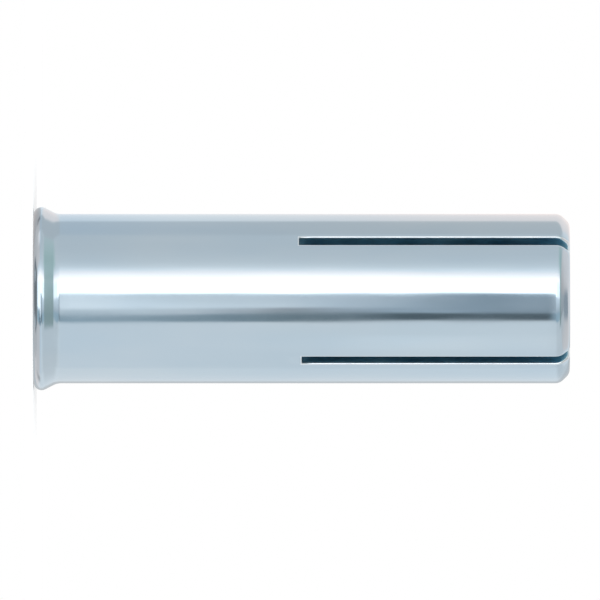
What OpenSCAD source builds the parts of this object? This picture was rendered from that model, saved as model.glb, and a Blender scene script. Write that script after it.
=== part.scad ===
// Lipped drop-in anchor: an internally threaded steel shell with a sawn expansion end,
// and the plug that spreads it. It stands on the face of its lip, at z = 0, and the
// expansion end points up.

/* [Shell] */
// Length from the face of the lip to the expansion end
shell_l = 50; // [46:0.5:80]
// Diameter of the body, for a drilled hole of 16 mm
body_d = 15.8; // [15:0.1:17]

/* [Lip] */
// How far the lip stands out from the body, all round
lip_stand = 0.65; // [0.5:0.05:1.5]
// Round on the outer edge of the lip
lip_round_r = 0.74; // [0.4:0.02:1.2]
// Slope of the back of the lip, from the axis
lip_back_angle = 27; // [20:1:45]
// Hollow round where the back of the lip runs out into the body
lip_root_r = 0.8; // [0.3:0.1:1.6]

/* [Thread] */
// Nominal diameter of the thread
thread_d = 12; // [10:0.5:12.5]
// Pitch of the thread, which the tapping drill leaves off its diameter
thread_pitch = 1.75; // [1:0.25:2]
// Depth of the tapped bore from the face of the lip
thread_depth = 21.5; // [14:0.5:22]
// How much wider than the thread its countersunk mouth is
mouth_margin = 0.4; // [0:0.1:1]
// Angle of the countersink, from side to side
mouth_angle = 90; // [60:5:120]

/* [Expansion end] */
// How much narrower the bore of the plug is than the tapping drill
plug_bore_step = 0.45; // [0.2:0.05:1]
// Angle of the drill's point, which leaves the shoulder between the two bores
drill_angle = 118; // [90:1:140]
// Length of the taper that the plug is driven into
taper_l = 15; // [11:0.5:18]
// Diameter of the taper at its narrow end
taper_end_d = 6.4; // [5:0.1:7]
// Width of the broken edge at the narrow end
taper_edge = 0.3; // [0.1:0.05:0.6]
// Width of the chamfer outside the expansion end
end_chamfer = 0.9; // [0.6:0.05:1.3]
// Round between that chamfer and the end face
end_round_r = 0.9; // [0.2:0.05:1.2]
// Round between that chamfer and the body
end_shoulder_r = 1.1; // [0.1:0.1:1.5]

/* [Saw cuts] */
// Width of a cut
cut_w = 0.9; // [0.6:0.05:2]
// Length of the first cut, measured on the body
first_cut_l = 25.2; // [20:0.1:27]
// Length of the second cut, measured on the body
second_cut_l = 24.95; // [20:0.05:27]
// Turn of the first cut about the axis, with the second square to it
first_cut_turn = 45; // [0:5:90]
// Diameter of the saw, which leaves the floor of each cut as an arc
saw_d = 100; // [60:5:160]

/* [Plug] */
// Length of the plug
plug_l = 18; // [12:0.5:19]
// How far the nose of the plug already sits in the taper
plug_nose_l = 5.2; // [3:0.1:8]
// Clearance between the plug and its bore, on the radius
plug_clearance = 0.05; // [0.02:0.01:0.15]
// Width of the chamfer on both ends of the plug
plug_chamfer = 0.4; // [0.2:0.05:0.8]

/* [Hidden] */
$fn = 120;
// How far a cutting shape runs past the face that it opens
over = 1;
zinc_plate = [0.71, 0.78, 0.83];
bare_steel = [0.60, 0.62, 0.64];

body_r = body_d / 2;

// The lip's rounds are placed from the foot of the body, at [0, 0]
back_normal = [cos(lip_back_angle), sin(lip_back_angle)];
lip_round_at = [lip_stand - lip_round_r, lip_round_r];
back_start = lip_round_at + lip_round_r * back_normal;
// Height at which a circle outside the body touches both the back of the lip and the body
lip_root_z = back_start.y
    + (lip_root_r - (lip_root_r - back_start.x) * back_normal.x) / back_normal.y;
lip_root_at = [lip_root_r, lip_root_z];
back_end = lip_root_at - lip_root_r * back_normal;

// The end's rounds are placed from the corner that the chamfer takes off, at [0, 0].
// A round of radius r between two faces 45 degrees apart starts r * blend from their corner.
blend = tan(22.5);
chamfer_normal = [cos(45), sin(45)];
end_round_at = [-end_chamfer - end_round_r * blend, -end_round_r];
end_shoulder_at = [-end_shoulder_r, -end_chamfer - end_shoulder_r * blend];

tap_r = (thread_d - thread_pitch) / 2;
mouth_r = (thread_d + mouth_margin) / 2;
mouth_slope = tan(mouth_angle / 2);
mouth_l = (mouth_r - tap_r) / mouth_slope;

plug_bore_r = tap_r - plug_bore_step / 2;
drill_point_l = (tap_r - plug_bore_r) / tan(drill_angle / 2);
taper_z = shell_l - taper_l;
taper_slope = (plug_bore_r - taper_end_d / 2) / taper_l;

plug_r = plug_bore_r - plug_clearance;
plug_front_z = taper_z + plug_nose_l;
plug_back_z = plug_front_z - plug_l;

// Radius of the taper at height z
function taper_r(z) = plug_bore_r - (z - taper_z) * taper_slope;

// Radius of the plug's nose at height z
function nose_r(z) = taper_r(z) - plug_clearance;

// Half section of the lip: its face, outer round, sloping back and hollow root
module lip_section() {
    translate([body_r, 0]) difference() {
        union() {
            polygon([
                [-body_r, 0],
                [lip_round_at.x, 0],
                back_start,
                back_end,
                [0, lip_root_z],
                [-body_r, lip_root_z],
            ]);
            translate(lip_round_at) circle(lip_round_r);
        }
        translate(lip_root_at) circle(lip_root_r);
    }
}

// Half section of the expansion end: a chamfer with a round on either side of it
module end_section() {
    translate([body_r, shell_l]) {
        polygon([
            [-body_r, -end_chamfer - end_shoulder_r],
            [0, -end_chamfer - end_shoulder_r],
            [0, end_shoulder_at.y],
            end_shoulder_at + end_shoulder_r * chamfer_normal,
            end_round_at + end_round_r * chamfer_normal,
            [end_round_at.x, 0],
            [-body_r, 0],
        ]);
        translate(end_shoulder_at) circle(end_shoulder_r);
        translate(end_round_at) circle(end_round_r);
    }
}

// Half section of the turned outside
module outside_section() {
    lip_section();
    translate([0, lip_round_r])
        square([body_r, shell_l - lip_round_r - end_chamfer - end_shoulder_r]);
    end_section();
}

// Half section of the bore: countersink, tapping drill, drill point, plug bore, taper, broken edge
module bore_section() {
    polygon([
        [0, -over],
        [mouth_r + over * mouth_slope, -over],
        [tap_r, mouth_l],
        [tap_r, thread_depth],
        [plug_bore_r, thread_depth + drill_point_l],
        [plug_bore_r, taper_z],
        [taper_r(shell_l - taper_edge), shell_l - taper_edge],
        [taper_r(shell_l - taper_edge) + taper_edge + over, shell_l + over],
        [0, shell_l + over],
    ]);
}

// One pass of the saw, which leaves two slots on opposite sides. Its disc stands on the
// axis of the shell, where it meets the outside of the body at the length given.
module saw_cut(cut_l, turn) {
    saw_r = saw_d / 2;
    saw_z = shell_l - cut_l + sqrt(pow(saw_r, 2) - pow(body_r, 2));
    rotate([0, 0, turn])
        translate([0, 0, saw_z])
            rotate([90, 0, 0])
                cylinder(h = cut_w, r = saw_r, center = true);
}

// Turned, tapped and zinc plated steel shell. Its four legs spread when the plug is driven in.
module anchor_shell() {
    color(zinc_plate)
        difference() {
            rotate_extrude() difference() {
                outside_section();
                bore_section();
            }
            saw_cut(first_cut_l, first_cut_turn);
            saw_cut(second_cut_l, first_cut_turn + 90);
        }
}

// Loose steel plug, held by its tapered nose until the anchor is set
module expansion_plug() {
    color(bare_steel)
        rotate_extrude() polygon([
            [0, plug_back_z],
            [plug_r - plug_chamfer, plug_back_z],
            [plug_r, plug_back_z + plug_chamfer],
            [plug_r, taper_z],
            [nose_r(plug_front_z - plug_chamfer), plug_front_z - plug_chamfer],
            [nose_r(plug_front_z) - plug_chamfer, plug_front_z],
            [0, plug_front_z],
        ]);
}

anchor_shell();
expansion_plug();
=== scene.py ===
import math

import bmesh
import bpy
from mathutils import Matrix, Vector


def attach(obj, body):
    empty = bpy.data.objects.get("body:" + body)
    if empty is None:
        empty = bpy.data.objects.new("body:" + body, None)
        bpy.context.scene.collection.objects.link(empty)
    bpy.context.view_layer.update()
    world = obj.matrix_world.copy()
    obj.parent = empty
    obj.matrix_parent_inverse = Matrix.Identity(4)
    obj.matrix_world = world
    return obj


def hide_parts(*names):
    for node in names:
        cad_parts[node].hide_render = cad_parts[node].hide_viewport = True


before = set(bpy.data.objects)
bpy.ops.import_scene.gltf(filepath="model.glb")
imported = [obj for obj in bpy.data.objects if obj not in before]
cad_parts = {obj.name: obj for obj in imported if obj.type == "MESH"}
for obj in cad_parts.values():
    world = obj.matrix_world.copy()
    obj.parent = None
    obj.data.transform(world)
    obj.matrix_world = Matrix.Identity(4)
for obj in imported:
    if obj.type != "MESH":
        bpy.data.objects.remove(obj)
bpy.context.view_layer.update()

# The shell of the anchor. It is turned from steel bar, tapped from the lip's side for an
# M12 rod, drilled and tapered from the other side, and sawn crosswise twice, which leaves
# four legs that spread when the plug is driven in. Bright bluish zinc covers all of it.
mm = 0.001
shell_l = 50 * mm
body_r = 7.9 * mm
lip_r = 8.55 * mm
lip_round = 0.74 * mm
lip_back_angle = math.radians(27)
lip_root_round = 1.6 * mm
lip_root_angle = math.radians(6)
lip_root_edge_round = 0.3 * mm
mouth_r = 6.2 * mm
tap_r = 5.125 * mm
thread_r = 6 * mm
thread_pitch = 1.75 * mm
thread_depth = 21.5 * mm
tap_lead_slope = 0.4
drill_point_l = 0.135 * mm
plug_bore_r = 4.9 * mm
taper_z = 35 * mm
taper_end_r = 3.2 * mm
taper_edge = 0.3 * mm
end_chamfer = 0.9 * mm
end_round = 0.9 * mm
end_shoulder_round = 1.1 * mm
taper_edge_round = 0.36 * mm
broken_edge = 0.1 * mm
cut_w = 0.9 * mm
cut_lengths = [25.2 * mm, 24.95 * mm]
saw_r = 50 * mm
cut_edge = 0.15 * mm
leg_tip_l = 2 * mm
leg_tip_wear = 0.4
taper_slope = (plug_bore_r - taper_end_r) / (shell_l - taper_z)

# Cells of the mesh across a cut, across a leg, round an edge and over the end face
cut_cells = 4
leg_cells = 36
quarter_cells = cut_cells + leg_cells
edge_cells = 4
end_cells = 6
# Rows of the mesh on the lip's face, in the bore, on the taper and along the body
face_rows = 3
bore_rows = 7
taper_rows = 9
body_rows = bore_rows + taper_rows + 1
# Turn from one cell of a round in the outline to the next, at most
arc_step = math.radians(9)


def between(a, b, share):
    return a + (b - a) * share


def turned(corners):
    """The (r, z) points of a turned outline. Each corner is r, z and its round, if it has one."""
    points = [Vector(corners[0][:2])]
    for before, corner, after in zip(corners, corners[1:], corners[2:]):
        at = Vector(corner[:2])
        radius = corner[2] if len(corner) > 2 else 0
        if not radius:
            points.append(at)
            continue
        back = (Vector(before[:2]) - at).normalized()
        ahead = (Vector(after[:2]) - at).normalized()
        half = back.angle(ahead) / 2
        centre = at + (back + ahead).normalized() * radius / math.sin(half)
        start = at + back * radius / math.tan(half) - centre
        end = at + ahead * radius / math.tan(half) - centre
        cells = max(2, math.ceil(start.angle(end) / arc_step))
        sweep = start.angle_signed(end)
        for i in range(cells + 1):
            points.append(centre + Matrix.Rotation(-sweep * i / cells, 2) @ start)
    points.append(Vector(corners[-1][:2]))
    return points


def run(start, end, count):
    """Points along a straight run of the outline, its two ends left out."""
    a, b = Vector(start), Vector(end)
    return [tuple(between(a, b, (i + 1) / (count + 1))) for i in range(count)]


def floor_z(x, cut):
    """Height of the arc that the saw leaves at distance x from the axis."""
    saw_z = shell_l - cut_lengths[cut % 2] + math.sqrt(saw_r ** 2 - body_r ** 2)
    return saw_z - math.sqrt(saw_r ** 2 - x ** 2)


def edge_round(z):
    """Round on the edges of a cut. Tumbling leaves it larger on the tips of the legs."""
    up_the_tip = max(0, (z - shell_l + leg_tip_l) / leg_tip_l)
    return cut_edge * (1 + leg_tip_wear * up_the_tip ** 2)


def rim_z(r, cut, across=1):
    """Height at which the wall below a cut starts to round over into its floor."""
    aside = across * (cut_w / 2 + cut_edge)
    return floor_z(math.sqrt(r ** 2 - aside ** 2), cut) - cut_edge


def leg_outline(cut):
    """Section of a leg beside one cut: up the outside, over the end and down the bore."""
    corner_r = body_r - end_chamfer
    inner_z = shell_l - taper_edge
    inner_r = plug_bore_r - (inner_z - taper_z) * taper_slope
    outer_foot = (body_r, rim_z(body_r, cut))
    shoulder = (body_r, shell_l - end_chamfer)
    inner_foot = (plug_bore_r, rim_z(plug_bore_r, cut))
    flat = [(corner_r - end_round, shell_l), (inner_r + 2 * taper_edge, shell_l)]
    return turned([
        outer_foot,
        *run(outer_foot, shoulder, body_rows),
        (*shoulder, end_shoulder_round),
        (corner_r, shell_l, end_round),
        *run(*flat, end_cells - 1),
        (inner_r + taper_edge, shell_l, taper_edge_round),
        (inner_r, inner_z, taper_edge_round),
        *run((inner_r, inner_z), (plug_bore_r, taper_z), taper_rows),
        (plug_bore_r, taper_z),
        *run((plug_bore_r, taper_z), inner_foot, bore_rows),
        inner_foot,
    ])


def column_angle(column, r, z=0):
    """Turn of a column of the mesh about the axis. Columns beside a cut stay parallel to it."""
    cut, cell = divmod(column, quarter_cells)
    aside = math.asin((cut_w / 2 + edge_round(z)) / r)
    if cell < cut_cells:
        turn = math.asin((2 * cell / cut_cells - 1) * math.sin(aside))
    else:
        turn = between(aside, math.pi / 2 - aside, (cell - cut_cells) / leg_cells)
    return math.radians(45 + 90 * cut) + turn


def column_rim_z(column, r):
    """Height of the topmost whole ring of the mesh, which follows the floors of the cuts."""
    cut, cell = divmod(column, quarter_cells)
    if cell <= cut_cells:
        return rim_z(r, cut, 2 * cell / cut_cells - 1)
    return between(rim_z(r, cut), rim_z(r, cut + 1), (cell - cut_cells) / leg_cells)


def on_ring(r, z, angle):
    return Vector((r * math.cos(angle), r * math.sin(angle), z))


all_columns = range(4 * quarter_cells + 1)


def ring(r, z, parallel_at=body_r):
    return [on_ring(r, z, column_angle(c, parallel_at)) for c in all_columns]


def rim_ring(r):
    return [on_ring(r, column_rim_z(c, r), column_angle(c, r)) for c in all_columns]


# The thread is a right-handed helix, so each row of its mesh climbs one pitch in a turn.
# Its rows lie on either side of each corner of the thread form, which blunts the corner.
flank_slope = math.tan(math.radians(30))
root_half = thread_pitch / 16
crest_start = root_half + (thread_r - tap_r) * flank_slope
blunt = 0.04 * mm
mouth_z = broken_edge
from_root = [
    crest_start + blunt,
    crest_start - blunt,
    between(root_half, crest_start, 0.5),
    root_half + blunt,
    root_half - blunt,
]
form_rows = [-thread_pitch / 2, *[-x for x in from_root], 0, *reversed(from_root)]


def thread_form(aside):
    """Radius of the thread at a distance along the axis from the middle of its root."""
    flank = thread_r - (abs(aside) - root_half) / flank_slope
    return min(thread_r, max(tap_r, flank))


def thread_rows():
    """Rows of the thread, from the drill's point to the mouth."""
    turns = math.ceil((thread_depth - mouth_z) / thread_pitch) + 1
    first = column_angle(0, body_r)
    for turn in range(turns):
        for aside in form_rows:
            row = []
            for c in all_columns:
                angle = column_angle(c, body_r)
                climb = thread_pitch * ((angle - first) / (2 * math.pi) - turn - 0.5)
                z = min(thread_depth, max(mouth_z, thread_depth + climb - aside))
                tap_lead = tap_r + (thread_depth - z) * tap_lead_slope
                r = max(min(thread_form(aside), tap_lead), mouth_r - z)
                row.append(on_ring(r, z, angle))
            yield row


def outside_rings():
    """Rings from the countersunk mouth over the lip and up the body to just under the cuts."""
    # Where the sloping back of the lip would meet the face and the body if nothing were rounded
    back_start_r = lip_r - lip_round * (1 - math.cos(lip_back_angle))
    back_start_z = lip_round * (1 + math.sin(lip_back_angle))
    face_r = back_start_r + back_start_z * math.tan(lip_back_angle)
    foot_z = back_start_z + (back_start_r - body_r) / math.tan(lip_back_angle)
    # The tool's nose leaves a hollow behind the lip, and a faint edge where it ends on the body
    hollow = lip_root_round * math.tan((lip_back_angle - lip_root_angle) / 2)
    hollow_r = body_r + hollow * math.sin(lip_root_angle)
    hollow_z = foot_z - hollow * math.sin(lip_root_angle) / math.tan(lip_back_angle)
    room_for_edge_round = 1.15
    edge_z = hollow_z + room_for_edge_round * hollow * math.cos(lip_root_angle)
    top_z = min(rim_z(body_r, cut) for cut in range(2))
    outline = turned([
        (mouth_r - mouth_z, mouth_z),
        (mouth_r, 0, broken_edge),
        *run((mouth_r + 2 * broken_edge, 0), (lip_r - lip_round, 0), face_rows),
        (face_r, 0, lip_round),
        (hollow_r, hollow_z, lip_root_round),
        (body_r, edge_z, lip_root_edge_round),
        *run((body_r, edge_z), (body_r, top_z), body_rows),
        (body_r, top_z),
    ])
    return [ring(p.x, p.y) for p in outline[1:-1]]


def in_cut(cut, r, z, aside):
    """A point beside the middle plane of a cut, at radius r."""
    x = math.sqrt(r ** 2 - aside ** 2)
    return Matrix.Rotation(math.radians(45 + 90 * cut), 3, "Z") @ Vector((x, aside, z))


def edge_loop(cut, outline, share):
    """One loop round the mouth of a cut, at a share of the way from its walls to the surface."""
    out = 1 - math.cos(share * math.pi / 2)
    sunk = 1 - math.sin(share * math.pi / 2)
    outer_r = body_r - cut_edge * sunk
    inner_r = plug_bore_r + cut_edge * sunk

    def foot(r, across):
        aside = across * (cut_w / 2 + cut_edge * out)
        x = math.sqrt(r ** 2 - aside ** 2)
        return in_cut(cut, r, floor_z(x, cut) - cut_edge * out, aside)

    def side(sign):
        points = []
        for before, at, after in zip(outline, outline[1:], outline[2:]):
            along = (after - before).normalized()
            edge = edge_round(at.y)
            r, z = at - edge * sunk * Vector((along.y, -along.x))
            points.append(in_cut(cut, r, z, sign * (cut_w / 2 + edge * out)))
        return [foot(outer_r, sign), *points, foot(inner_r, sign)]

    across = [2 * i / cut_cells - 1 for i in range(1, cut_cells)]
    return [
        *side(1),
        *[foot(inner_r, -a) for a in across],
        *reversed(side(-1)),
        *[foot(outer_r, a) for a in across],
        foot(outer_r, 1),
    ]


def cut_floor(cut):
    """Rows of points on the arc that the saw leaves, each from the outside to the bore."""
    rows = []
    for i in range(cut_cells + 1):
        aside = (2 * i / cut_cells - 1) * cut_w / 2
        outer_x = math.sqrt((body_r - cut_edge) ** 2 - aside ** 2)
        inner_x = math.sqrt((plug_bore_r + cut_edge) ** 2 - aside ** 2)
        row = []
        for j in range(end_cells + 3):
            x = between(outer_x, inner_x, j / (end_cells + 2))
            row.append(in_cut(cut, math.hypot(x, aside), floor_z(x, cut), aside))
        rows.append(row)
    return rows


class Patches:
    """Patches of mesh, which are sewn along the edges that they share into one closed skin."""

    def __init__(self):
        self.mesh = bmesh.new()

    def add(self, rows, finish=0):
        last = None
        for row in rows:
            verts = [self.mesh.verts.new(p) for p in row]
            if last:
                for a, b, c, d in zip(last, last[1:], verts[1:], verts):
                    self.mesh.faces.new((a, b, c, d)).material_index = finish
            last = verts

    def sew(self, name, finishes):
        bmesh.ops.remove_doubles(self.mesh, verts=self.mesh.verts, dist=0.0001 * mm)
        bmesh.ops.recalc_face_normals(self.mesh, faces=self.mesh.faces)
        for face in self.mesh.faces:
            face.smooth = True
        data = bpy.data.meshes.new(name)
        self.mesh.to_mesh(data)
        self.mesh.free()
        for finish in finishes:
            data.materials.append(finish)
        piece = bpy.data.objects.new(name, data)
        bpy.context.scene.collection.objects.link(piece)
        # The wide faces set the direction of the surface, so the narrow ones read as rounds
        weighted = piece.modifiers.new("rounded_edges", "WEIGHTED_NORMAL")
        weighted.weight = 100
        return piece


def add_node(material, kind, **inputs):
    """A node of the kind. Each input that is named takes a value or is joined to a socket."""
    node = material.node_tree.nodes.new("ShaderNode" + kind)
    for name, value in inputs.items():
        socket = node.inputs[name.replace("_", " ")]
        if isinstance(value, bpy.types.NodeSocket):
            material.node_tree.links.new(value, socket)
        else:
            socket.default_value = value
    return node


def new_material(name):
    material = bpy.data.materials.new(name)
    material.use_nodes = True
    material.node_tree.nodes.clear()
    return material


def streaks(material, across, along):
    """Soft noise in patches of the given width and length along the anchor's axis."""
    place = add_node(material, "TexCoord").outputs["Object"]
    scale = (1 / across, 1 / across, 1 / along)
    stretched = add_node(material, "Mapping", Vector=place, Scale=scale)
    noise = add_node(material, "TexNoise", Vector=stretched.outputs[0], Scale=1, Detail=2)
    return noise.outputs[0]


def spread(material, noise, low, high):
    """Widens the middle of a noise's range to run from low to high."""
    middle = dict(From_Min=0.3, From_Max=0.7)
    return add_node(material, "MapRange", Value=noise, To_Min=low, To_Max=high, **middle).outputs[0]


def blend_colours(material, share, first, second):
    mix = add_node(material, "Mix")
    mix.data_type = "RGBA"
    material.node_tree.links.new(share, mix.inputs[0])
    mix.inputs[6].default_value = (*first, 1)
    mix.inputs[7].default_value = (*second, 1)
    return mix.outputs[2]


def metal(material, colour, roughness, relief, depth):
    """Bare metal surface, with a relief of the given depth."""
    normal = add_node(material, "Bump", Height=relief, Distance=depth).outputs["Normal"]
    look = dict(Base_Color=colour, Metallic=1, Roughness=roughness, Normal=normal)
    surface = add_node(material, "BsdfPrincipled", **look)
    add_node(material, "OutputMaterial", Surface=surface.outputs[0])


def zinc(name, tones, tone_patch, roughness, gloss_patch, mark_patch, mark_depth):
    """A zinc finish, whose colour and gloss drift in patches. Patches are width, length."""
    finish = new_material(name)
    tone = spread(finish, streaks(finish, *tone_patch), 0, 1)
    colour = blend_colours(finish, tone, *tones)
    gloss = spread(finish, streaks(finish, *gloss_patch), *roughness)
    metal(finish, colour, gloss, streaks(finish, *mark_patch), mark_depth)
    return finish


# Outside: bright zinc with a blue passivate. The plating levels out most of the turning marks.
bright_zinc = zinc(
    "bright_zinc",
    tones=((0.50, 0.62, 0.715), (0.555, 0.655, 0.73)),
    tone_patch=(5 * mm, 16 * mm),
    roughness=(0.1, 0.16),
    gloss_patch=(2 * mm, 9 * mm),
    mark_patch=(2.5 * mm, 12 * mm),
    mark_depth=0.014 * mm,
)

# Bore: the same plating, thinner and duller so deep inside. Its colour is darker than the
# outside's, partly from the thinner plating and partly as painted shade for the deep bore.
dull_zinc_and_painted_shade = zinc(
    "dull_zinc_and_painted_shade",
    tones=((0.38, 0.48, 0.55), (0.45, 0.53, 0.58)),
    tone_patch=(3 * mm, 3 * mm),
    roughness=(0.26, 0.36),
    gloss_patch=(1 * mm, 2 * mm),
    mark_patch=(1.5 * mm, 0.25 * mm),
    mark_depth=0.008 * mm,
)

# Cuts: the saw leaves a rough face, which takes little zinc. Its colour is a light, strong blue,
# raised as painted light so that the deep, shaded cuts show brighter and bluer.
sawn_zinc_and_painted_light = zinc(
    "sawn_zinc_and_painted_light",
    tones=((0.24, 0.50, 0.64), (0.33, 0.60, 0.72)),
    tone_patch=(2 * mm, 4 * mm),
    roughness=(0.36, 0.48),
    gloss_patch=(1 * mm, 2 * mm),
    mark_patch=(0.6 * mm, 0.12 * mm),
    mark_depth=0.01 * mm,
)

# Edges of the cuts: rubbed bright in the tumbling drum. Their lighter colour is partly that wear
# and partly a painted highlight along the edges of the cuts.
rubbed_zinc_and_highlight = zinc(
    "rubbed_zinc_and_highlight",
    tones=((0.70, 0.79, 0.85), (0.80, 0.87, 0.91)),
    tone_patch=(1 * mm, 3 * mm),
    roughness=(0.14, 0.26),
    gloss_patch=(0.5 * mm, 2 * mm),
    mark_patch=(0.5 * mm, 2 * mm),
    mark_depth=0.004 * mm,
)

# The patches of the skin are numbered by their finish, in the order given to sew()
outside, bore, sawn, rubbed_and_highlit = range(4)
shell = Patches()
drill_point = ring(plug_bore_r, thread_depth + drill_point_l, plug_bore_r)
mouth = ring(mouth_r - mouth_z, mouth_z)
shell.add([rim_ring(plug_bore_r), drill_point], bore)
shell.add([drill_point, ring(tap_r, thread_depth), *thread_rows(), mouth], bore)
shell.add([mouth, *outside_rings(), rim_ring(body_r)], outside)
for cut in range(4):
    here = leg_outline(cut)
    next_cut = leg_outline(cut + 1)
    rows = []
    for a, b in zip(here, next_cut):
        row = []
        for i in range(leg_cells + 1):
            r, z = between(a, b, i / leg_cells)
            column = quarter_cells * cut + cut_cells + i
            row.append(on_ring(r, z, column_angle(column, r, z)))
        rows.append(row)
    # Besides its rows, the bore has the foot of its broken edge, the foot of its taper and its end
    bore_start = len(rows) - bore_rows - taper_rows - 3
    shell.add(rows[:bore_start + 1], outside)
    shell.add(rows[bore_start:], bore)
    # The rounds on the edges of each cut take the rubbed finish, with its painted highlight.
    loops = [edge_loop(cut, here, i / edge_cells) for i in range(edge_cells + 1)]
    shell.add(loops, rubbed_and_highlit)
    # The floor and walls of each cut take the sawn finish, with its painted light.
    floor_rows = cut_floor(cut)
    shell.add(floor_rows, sawn)
    # Rungs from the outside to the bore fill each wall, from the floor to the end of the leg
    second_wall = len(here) + cut_cells - 1
    climb = (len(here) - end_cells - 2) // 2
    for wall_floor, start in ((floor_rows[-1], 0), (floor_rows[0], second_wall)):
        wall = loops[0][start:start + len(here)]
        if start == second_wall:
            wall.reverse()
        rungs = [wall_floor]
        for a, b in zip(wall[1:climb], wall[-2:-climb - 1:-1]):
            rungs.append([between(a, b, i / (end_cells + 2)) for i in range(end_cells + 3)])
        rungs.append(wall[climb:len(wall) - climb])
        shell.add(rungs, sawn)
anchor_shell = shell.sew("shell_zinc_plated", [bright_zinc, dull_zinc_and_painted_shade, sawn_zinc_and_painted_light, rubbed_zinc_and_highlight])

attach(anchor_shell, "root")
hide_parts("anchor_shell")

# The plug is turned from plain steel and left bare. It sits loose in its bore, and its tapered
# nose keeps it from falling through until a punch drives it down the taper.
plug_z = 22.2 * mm
plug_end_z = 40.2 * mm
plug_clearance = 0.05 * mm
plug_r = plug_bore_r - plug_clearance
plug_chamfer = 0.4 * mm
plug_edge_round = 0.08 * mm
plug_shoulder_round = 0.5 * mm
plug_columns = 96
plug_side_rows = 4
plug_nose_rows = 2


def nose_r(z):
    return plug_r - (z - taper_z) * taper_slope


plug_outline = turned([
    (0, plug_z),
    (plug_r - plug_chamfer, plug_z, plug_edge_round),
    (plug_r, plug_z + plug_chamfer, plug_edge_round),
    *run((plug_r, plug_z + plug_chamfer), (plug_r, taper_z), plug_side_rows),
    (plug_r, taper_z, plug_shoulder_round),
    *run((plug_r, taper_z), (nose_r(plug_end_z), plug_end_z), plug_nose_rows),
    (nose_r(plug_end_z - plug_chamfer), plug_end_z - plug_chamfer, plug_edge_round),
    (nose_r(plug_end_z) - plug_chamfer, plug_end_z, plug_edge_round),
    (0, plug_end_z),
])
plug = Patches()
plug.add([
    [on_ring(r, z, 2 * math.pi * i / plug_columns) for i in range(plug_columns + 1)]
    for r, z in plug_outline
])


def length_of(material, vector):
    """How long a vector is, which is how far a place lies from the origin."""
    length = add_node(material, "VectorMath")
    length.operation = "LENGTH"
    material.node_tree.links.new(vector, length.inputs[0])
    return length.outputs["Value"]


# The tool leaves rings a feed apart, on the faces and on the side alike
tool_feed = 0.12 * mm
turned_steel = new_material("turned_steel")
place = add_node(turned_steel, "TexCoord").outputs["Object"]
axes = add_node(turned_steel, "SeparateXYZ", Vector=place)
flat_place = add_node(turned_steel, "CombineXYZ", X=axes.outputs["X"], Y=axes.outputs["Y"])
out = length_of(turned_steel, flat_place.outputs[0])
out_and_up = add_node(turned_steel, "CombineXYZ", X=out, Z=axes.outputs["Z"]).outputs[0]
rings = add_node(turned_steel, "TexNoise", Vector=out_and_up, Scale=1 / tool_feed, Detail=1)
tone = spread(turned_steel, streaks(turned_steel, 2 * mm, 2 * mm), 0, 1)
colour = blend_colours(turned_steel, tone, (0.46, 0.47, 0.49), (0.54, 0.55, 0.56))
gloss = spread(turned_steel, rings.outputs[0], 0.28, 0.4)
metal(turned_steel, colour, gloss, rings.outputs[0], 0.004 * mm)
expansion_plug = plug.sew("plug_turned_steel", [turned_steel])

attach(expansion_plug, "root")
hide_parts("expansion_plug")

# The camera looks at the anchor from its side, at a turn in degrees. It is rolled so that the
# anchor lies across the picture, with the lip on the left.
camera_turn = 268
camera_distance = 2.5
camera_z = 24.85 * mm
camera_under_axis = 0.13 * mm
picture_w = 55.98 * mm
camera_data = bpy.data.cameras.new("camera")
camera_data.lens = camera_data.sensor_width * camera_distance / picture_w
camera = bpy.data.objects.new("camera", camera_data)
bpy.context.scene.collection.objects.link(camera)
right = Vector((0, 0, 1))
up = on_ring(1, 0, math.radians(camera_turn - 90))
back = on_ring(1, 0, math.radians(camera_turn))
camera_place = right * camera_z - up * camera_under_axis + back * camera_distance
camera_roll = Matrix((right, up, back)).transposed().to_4x4()
camera.matrix_world = Matrix.Translation(camera_place) @ camera_roll
bpy.context.scene.camera = camera

# Light: a round tent with a soft box, a grey card and a dark flag on its wall, for the bright
# zinc to show. Only reflections see the tent. Its places are turns in degrees and lengths in mm,
# and a light of 1 is as bright as the white surround.
tent_r = 300
tent_foot = -300
tent_top = 228
# The wall starts and ends behind the anchor. Turns below the camera's are the high side, which
# the picture's upper half shows.
wall_start = camera_turn - 180
wall_end = camera_turn + 180
white = Vector((1, 1, 1))
warm = Vector((1.1, 0.97, 0.92))
cool = Vector((0.95, 1, 1.05))
pale = Vector((0.98, 0.99, 1))
teal = Vector((0.88, 1.07, 1))
slate = Vector((0.8, 1, 1.1))
steel = Vector((0.87, 1, 1.1))


def level_at(place, *stops):
    """Level at a place on a line through stops, each of them a place and its level."""
    for (start, first), (end, last) in zip(stops, stops[1:]):
        if place < end:
            return between(first, last, max(0, (place - start) / (end - start)))
    return stops[-1][1]


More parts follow.
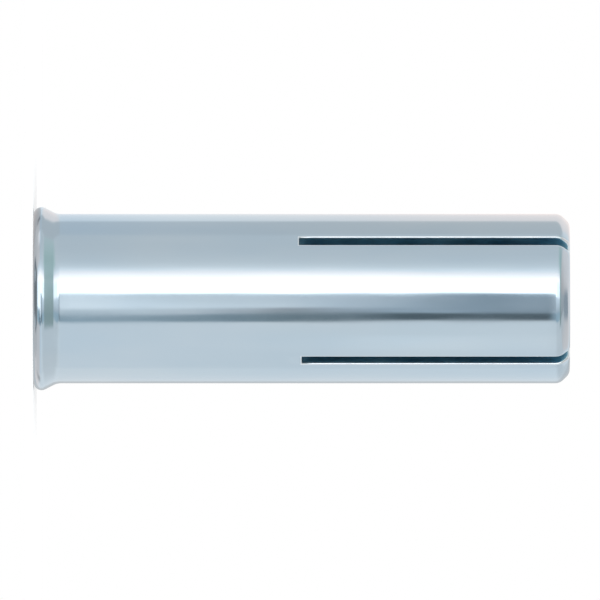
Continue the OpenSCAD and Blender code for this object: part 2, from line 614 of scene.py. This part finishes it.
def wall_light(turn, z):
    """Light of the wall, at a turn and at the height on the anchor that mirrors it."""
    # Behind the anchor the wall is bright, which shows at both edges of the anchor
    edge = level_at(
        z, (-80, warm * 0.6), (-14, white * 0.65), (-4, cool * 0.95), (16, white * 0.98),
        (45, warm))
    # The high side is grey, and glows beside the soft box, a little later along the legs
    dim = level_at(
        z, (-80, warm * 0.75), (-20, cool * 0.7), (4, cool * 0.72), (20, pale * 0.71),
        (34, white * 0.68))
    high = level_at(
        z, (-80, warm * 0.78), (-20, cool * 0.75), (0, pale * 0.765), (50, pale * 0.765),
        (120, white * 0.77), (150, white * 0.77), (220, teal * 0.65))
    late = level_at(z, (25, 0), (34, 1.5))
    # The soft box ends in a sharp edge, a little earlier where the legs start
    box = white * level_at(z, (-15, 1.75), (0, 2.8), (75, 2.8), (120, 1.6))
    box_end = level_at(
        z, (-60, 281), (-50, 290), (-22, 290), (-14, 261), (0, 260.2), (20, 260.6), (25, 261.3),
        (34, 258.5), (45, 260.5), (64, 260.5), (75, 262), (85, 266), (228, 268))
    # The grey card drifts from one grey to another, and has another half beside the flag
    tint = level_at(z, (20, pale), (26, cool), (36, steel), (57, steel), (64, cool))
    grey = level_at(
        z, (-14, 0.95), (0, 1.12), (6, 1.16), (15, 0.55), (25, 1.01), (34, 0.34), (45, 0.45),
        (60, 0.43), (64, 0.55), (75, 0.8), (85, 0.97))
    grey_end = level_at(
        z, (-22, 0.7), (0, 1.25), (6, 1.28), (15, 1.04), (25, 0.95), (34, 0.6), (45, 0.36),
        (60, 0.38), (64, 0.5), (75, 0.7), (85, 0.8), (115, 0.75))
    half_start = level_at(z, (2, 282), (4, 283), (15, 280.5), (25, 279), (34, 283))
    half = level_at(
        z, (-30, 0.7), (0, 0.5), (2.3, 0.5), (3.2, 1.15), (6, 1.15), (15, 0.84), (25, 0.18),
        (34, 0.78), (45, 0.36), (57, 0.34), (64, 0.7), (120, 0.65))
    # The dark flag starts latest just above the lip
    flag_start = level_at(
        z, (0, 278), (2.3, 284), (3.1, 295), (4, 295.5), (8, 290), (20, 287.5), (26, 282.5),
        (34, 286.6))
    flag = level_at(
        z, (-130, 0.68), (-100, 0.35), (-25, 0.35), (4, 0.56), (8, 0.42), (16, 0.38), (25, 0.26),
        (34, 0.14), (45, 0.07), (57, 0.1), (64, 0.5), (130, 0.58))
    flag_end = level_at(
        z, (2, 301), (4, 298.5), (9, 299), (26, 299.8), (34, 297.2), (60, 297.2), (100, 301))
    # The low side is light, with a lighter patch along the legs
    low = level_at(
        z, (-80, warm * 0.8), (-20, cool * 0.9), (25, white * 0.9), (45, white * 0.93),
        (60, white * 0.9), (120, white * 0.8))
    patch = low * level_at(z, (26, 1), (34, 1.13), (42, 1.03))
    rear = level_at(
        z, (-80, warm * 0.85), (-20, white * 0.95), (25, white * 0.95), (60, white * 0.98),
        (120, white * 0.82))
    # Another box and flag stand low on either side, for a camera above the anchor
    low_down = level_at(z, (-180, 0), (-130, 1), (-34, 1), (-20, 0))
    left_flag = dim * (1 - 0.55 * low_down)
    left_box = high * (1 + 0.35 * low_down)
    right_flag = rear * (1 - 0.35 * low_down)
    right_box = rear * (1 + 0.12 * low_down)
    return level_at(
        turn,
        (90, edge), (136, edge), (139, dim),
        (141, left_flag), (149, left_flag), (151, dim), (170, dim),
        (173, left_box), (190, left_box), (194, high), (206, high * 1.03), (217, high * 1.09),
        (224 + late, white * 0.94), (229 + late, white * 1.17), (232.5 + late, warm * 1.35),
        (237 + late, warm * 1.62), (241 + late, warm * 1.85),
        (247, box), (box_end, box),
        (box_end + 0.5, tint * grey), (half_start, tint * grey_end),
        (half_start + 1, tint * half), (flag_start, tint * half),
        (flag_start + 1, slate * flag), (flag_end, slate * flag),
        (flag_end + 0.5, low), (316, low), (324, patch), (338, patch), (346, low), (376, low),
        (379, rear), (384, rear), (386, right_flag), (396, right_flag), (398, rear), (403, rear),
        (405, right_box), (418, right_box), (420, rear),
        (424, white * 0.7), (445, white * 0.62), (448, edge))


def roof_light(turn, r):
    """Light of the roof, at a turn and a distance from its middle."""
    outer = level_at(
        turn, (198, teal * 0.6), (222, teal * 0.62), (244, teal * 0.55), (269, teal * 0.48),
        (295, teal * 0.4), (308, teal * 0.42), (318, white * 0.8), (378, white * 0.8),
        (410, white), (480, white), (520, white * 0.75), (558, teal * 0.6))
    inner = level_at(
        turn, (198, warm * 0.78), (250, warm * 0.62), (262, white * 0.56), (290, white * 0.52),
        (300, white * 0.43), (305, white * 0.7), (378, warm * 0.8), (440, warm),
        (500, warm * 0.95), (558, warm * 0.78))
    outer_end = level_at(abs(turn - camera_turn), (0, 240), (25, 246), (50, 268), (60, 290))
    core_r = level_at(turn, (198, 12), (300, 25), (330, 45), (400, 45), (440, 12), (558, 12))
    wall = wall_light((turn - wall_start) % 360 + wall_start, tent_top)
    return level_at(
        r, (core_r, cool * 0.44), (core_r + 20, inner), (165, inner), (180, outer),
        (outer_end, outer), (outer_end + 12, wall))


def ground_light(turn, r):
    """Light of the ground, at a turn and a distance from its middle."""
    # Two white cards lie where the body mirrors them for a camera high above
    card = level_at(
        turn, (338, 0), (346, 0.45), (390, 0.45), (398, 0),
        (494, 0), (502, 0.5), (546, 0.5), (554, 0))
    dark = white * level_at(
        r, (60, 0.26), (68, 0.26 + card), (115, 0.26 + card), (123, 0.26), (140, 0.26),
        (200, 0.38))
    dark_r = level_at(
        turn, (198, 190), (218, 260), (222, 330), (302, 330), (310, 260), (325, 190),
        (345, 160), (400, 95), (440, 130), (498, 180), (540, 180), (558, 190))
    return level_at(r, (dark_r - 12, dark), (dark_r + 12, warm * 0.72))


def seen_at(z):
    """Height on the wall that the camera sees mirrored at height z of the anchor."""
    return z + (z - camera_z / mm) * tent_r * mm / camera_distance


def tent_part(name, rows, light):
    """Part of the tent, from rows of turn, distance, height and the place that light() takes."""
    mesh = bmesh.new()
    shade = mesh.loops.layers.float_color.new("glow")
    colours = {}
    verts = []
    for row in rows:
        verts.append([])
        for turn, r, z, place in row:
            corner = mesh.verts.new(on_ring(r, z, math.radians(turn)) * mm)
            colours[corner] = (*light(turn, place), 1)
            verts[-1].append(corner)
    for low, high in zip(verts, verts[1:]):
        for corners in zip(low, low[1:], high[1:], high):
            for loop in mesh.faces.new(corners).loops:
                loop[shade] = colours[loop.vert]
    data = bpy.data.meshes.new(name)
    mesh.to_mesh(data)
    mesh.free()
    data.materials.append(tent_glow)
    piece = bpy.data.objects.new(name, data)
    bpy.context.scene.collection.objects.link(piece)
    piece.visible_camera = False
    piece.visible_diffuse = False
    piece.visible_shadow = False


tent_glow = new_material("tent_glow")
glow = add_node(tent_glow, "VertexColor")
glow.layer_name = "glow"
shine = add_node(tent_glow, "Emission", Color=glow.outputs["Color"])
add_node(tent_glow, "OutputMaterial", Surface=shine.outputs[0])

# The wall's mesh is finest where the soft box and the flag end, and just above the lip
fine_turns = [214 + i / 2 for i in range(192)]
wall_turns = [*range(wall_start, 214, 2), *fine_turns, *range(310, wall_end + 1, 3)]
wall_heights = [
    tent_foot, -200, -100, -60, -50, -36, -22, -14, -7, 0, 2, 2.3, 2.7, 3.1, 3.5,
    *range(4, 52, 2), 54, 57, 60, 64, 75, 85, 100, 120, 150, 190, tent_top]
wall_rows = [[(turn, tent_r, seen_at(z), z) for turn in wall_turns] for z in wall_heights]
tent_part("tent_wall", wall_rows, wall_light)
disc_turns = range(198, 559, 4)
disc_radii = range(0, tent_r + 1, 10)
for name, z, light in (
        ("tent_roof", tent_top, roof_light),
        ("tent_ground", tent_foot, ground_light)):
    disc_rows = [[(turn, r, seen_at(z), r) for turn in disc_turns] for r in disc_radii]
    tent_part(name, disc_rows, light)


def larger_of(material, first, second):
    """The larger of two sockets, in a material or in the world."""
    larger = add_node(material, "Math")
    larger.operation = "MAXIMUM"
    material.node_tree.links.new(first, larger.inputs[0])
    material.node_tree.links.new(second, larger.inputs[1])
    return larger.outputs[0]


# The surround is plain white to the camera, and a little weaker as a light
surround_light = 0.75
surround = bpy.data.worlds.new("white_surround")
surround.use_nodes = True
background = surround.node_tree.nodes["Background"]
background.inputs["Color"].default_value = (1, 1, 1, 1)
path = add_node(surround, "LightPath")
seen = path.outputs["Is Camera Ray"]
for kind in ("Is Glossy Ray", "Is Transmission Ray"):
    seen = larger_of(surround, seen, path.outputs[kind])
strength = add_node(surround, "MapRange", Value=seen, To_Min=surround_light)
surround.node_tree.links.new(strength.outputs[0], background.inputs["Strength"])
bpy.context.scene.world = surround
bpy.context.scene.view_settings.view_transform = "Standard"

# A wide lamp over the camera, for the soft shadow on the floor
lamp_r = 0.25
lamp_z = 0.45
lamp_data = bpy.data.lights.new("soft_lamp", "SUN")
lamp_data.angle = math.radians(22)
lamp_data.energy = 1.6
lamp = bpy.data.objects.new("soft_lamp", lamp_data)
bpy.context.scene.collection.objects.link(lamp)
lamp.location = on_ring(lamp_r, lamp_z, math.radians(camera_turn))
lamp.rotation_euler = lamp.location.to_track_quat("Z", "Y").to_euler()
lamp.visible_camera = False
lamp.visible_glossy = False

# The floor is a sheet of white paper, a hair under the lip's face. It is open under the bore,
# clear from below, and fades into the surround.
paper_hole_r = 7.75 * mm
paper_z = -0.01 * mm
paper_columns = 120
fade_start = 45 * mm
fade_end = 85 * mm
sheet_rows = []
for r in (paper_hole_r, 9 * mm, 12 * mm, 20 * mm, 40 * mm, 90 * mm):
    turns = [2 * math.pi * i / paper_columns for i in range(paper_columns + 1)]
    sheet_rows.append([on_ring(r, paper_z, turn) for turn in turns])
sheet = Patches()
sheet.add(sheet_rows)
paper = new_material("white_paper")
out = length_of(paper, add_node(paper, "TexCoord").outputs["Object"])
fade = add_node(paper, "MapRange", Value=out, From_Min=fade_start, From_Max=fade_end)
below = add_node(paper, "NewGeometry").outputs["Backfacing"]
clear = larger_of(paper, fade.outputs[0], below)
matt = add_node(paper, "BsdfDiffuse", Color=(0.9, 0.9, 0.9, 1))
nothing = add_node(paper, "BsdfTransparent")
mixed = add_node(paper, "MixShader", Fac=clear)
paper.node_tree.links.new(matt.outputs[0], mixed.inputs[1])
paper.node_tree.links.new(nothing.outputs[0], mixed.inputs[2])
add_node(paper, "OutputMaterial", Surface=mixed.outputs[0])
floor = sheet.sew("floor", [paper])
# Its clear side has to face down, whichever way it was sewn
if floor.data.polygons[0].normal.z < 0:
    floor.data.flip_normals()
floor.visible_glossy = False
